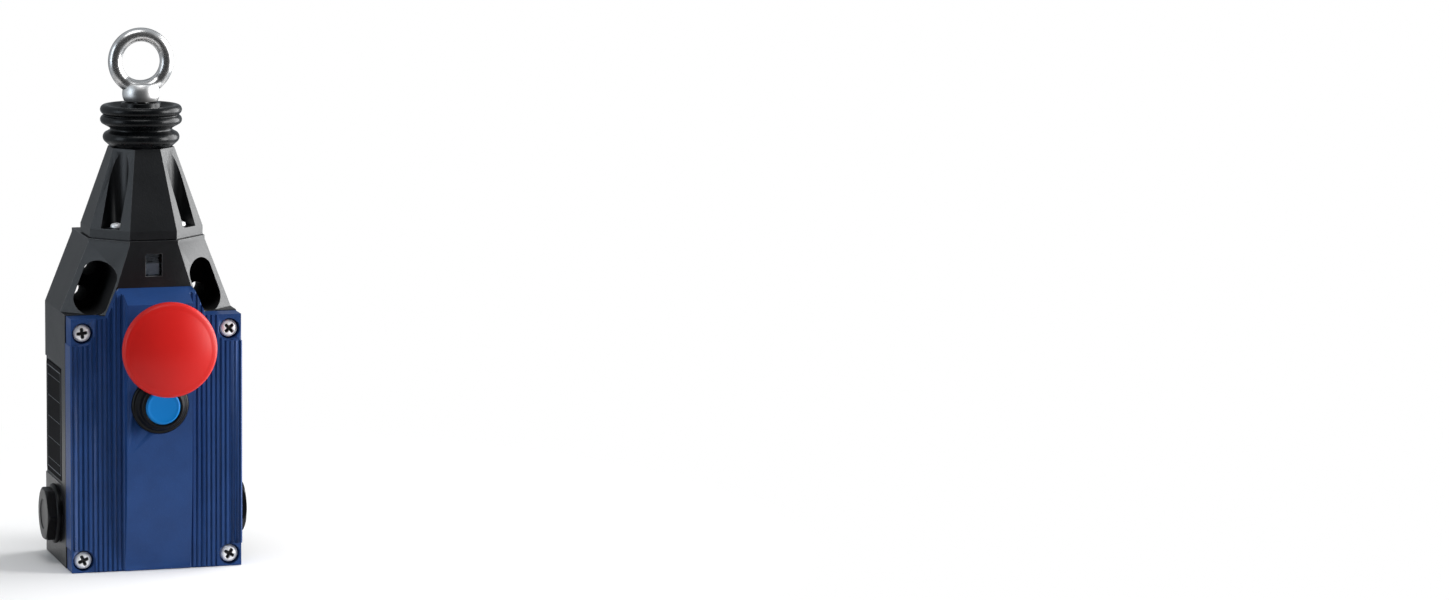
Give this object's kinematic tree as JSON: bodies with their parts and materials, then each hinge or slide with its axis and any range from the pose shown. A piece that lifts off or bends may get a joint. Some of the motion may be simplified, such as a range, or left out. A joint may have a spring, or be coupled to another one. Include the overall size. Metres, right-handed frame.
{
  "type": "rope pull switch",
  "caption": "Rope pull emergency stop switch with a cast housing, ribbed cover, tapering rope head with bellows and swivelling eye, red mushroom stop button and blue reset button.",
  "frame": {"origin": "on the mounting face, midway between the two lower fixing holes", "axes": "+Z along the rope towards the eye, +X to the right seen from the front, +Y out of the mounting face to the back, so the buttons face -Y"},
  "size_m": [0.0878, 0.0888, 0.2315],
  "materials": {
    "black_casting": "fine-textured semi-gloss black powder coat",
    "blue_casting": "fine-textured navy blue powder coat",
    "black_rubber": "matt black rubber",
    "zinc_steel": "bright zinc plated steel",
    "spring_steel": "drawn spring steel wire",
    "eye_steel": "polished stainless steel",
    "bronze": "plain bearing bronze",
    "contact_brass": "copper alloy",
    "marker_silver": "silver-grey ribbed plastic",
    "window_clear": "clear polycarbonate",
    "beige_plastic": "moulded insulating plastic",
    "dark_plastic": "moulded black plastic",
    "red_plastic": "glossy signal red plastic",
    "blue_plastic": "glossy bright blue plastic"
  },
  "bodies": {
    "housing": {"housing": "black_casting", "cover": "blue_casting", "cover_gasket": "black_rubber", "cover_screws": "zinc_steel", "rope_head": "black_casting", "head_gasket": "black_rubber", "head_screws": "zinc_steel", "indicator_window": "window_clear", "main_spring": "spring_steel", "guide_bush": "bronze", "contact_block_left": "dark_plastic", "contact_block_right": "dark_plastic", "fixed_contacts": "contact_brass", "terminal_screws": "zinc_steel", "earth_screw": "zinc_steel", "lever_bracket": "zinc_steel", "lever_pins": "zinc_steel", "stop_neck": "dark_plastic", "stop_nut": "zinc_steel", "stop_spring": "spring_steel", "reset_bezel": "dark_plastic", "reset_nut": "zinc_steel", "reset_spring": "spring_steel", "plug_left": "dark_plastic", "plug_right": "dark_plastic", "plug_seals": "black_rubber", "bellows": "black_rubber"},
    "rod": {"pull_rod": "zinc_steel", "rod_nut": "zinc_steel", "spring_seat": "zinc_steel", "indicator_marker": "marker_silver", "rod_circlip": "zinc_steel", "contact_carriage": "beige_plastic", "contact_bridges": "contact_brass"},
    "eye": {"eye_bolt": "eye_steel"},
    "stop_button": {"stop_mushroom": "red_plastic", "stop_stem": "dark_plastic"},
    "reset_button": {"reset_button": "blue_plastic", "reset_stem": "dark_plastic"},
    "trip_lever": {"trip_lever": "zinc_steel"},
    "reset_lever": {"reset_lever": "zinc_steel"}
  },
  "joints": [
    {"name": "rope_pull", "type": "slide", "parent": "housing", "child": "rod", "axis": [0, 0, 1], "range_m": [0, 0.01], "stiffness_N_per_m": 3000, "springref_m": -0.012, "deforming": ["main_spring", "bellows"]},
    {"name": "eye_swivel", "type": "hinge", "parent": "rod", "child": "eye", "pos_m": [0, -0.0255, 0.0838], "axis": [0, 0, 1], "continuous": true},
    {"name": "stop_press", "type": "slide", "parent": "housing", "child": "stop_button", "axis": [0, 1, 0], "range_m": [0, 0.005], "stiffness_N_per_m": 1500, "springref_m": -0.004, "deforming": ["stop_spring"]},
    {"name": "reset_press", "type": "slide", "parent": "housing", "child": "reset_button", "axis": [0, 1, 0], "range_m": [0, 0.0035], "stiffness_N_per_m": 900, "springref_m": -0.003, "deforming": ["reset_spring"]},
    {"name": "trip_lever_turn", "type": "hinge", "parent": "housing", "child": "trip_lever", "pos_m": [0, -0.0405, -0.0326], "axis": [-1, 0, 0], "range_deg": [0, 17.6]},
    {"name": "reset_lever_turn", "type": "hinge", "parent": "housing", "child": "reset_lever", "pos_m": [0, -0.0405, -0.0571], "axis": [-1, 0, 0], "range_deg": [0, 14.4]}
  ],
  "couplings": [
    {"joint": "trip_lever_turn", "follows": "stop_press", "rad_per_m": 60.976},
    {"joint": "reset_lever_turn", "follows": "reset_press", "rad_per_m": 71.429}
  ]
}
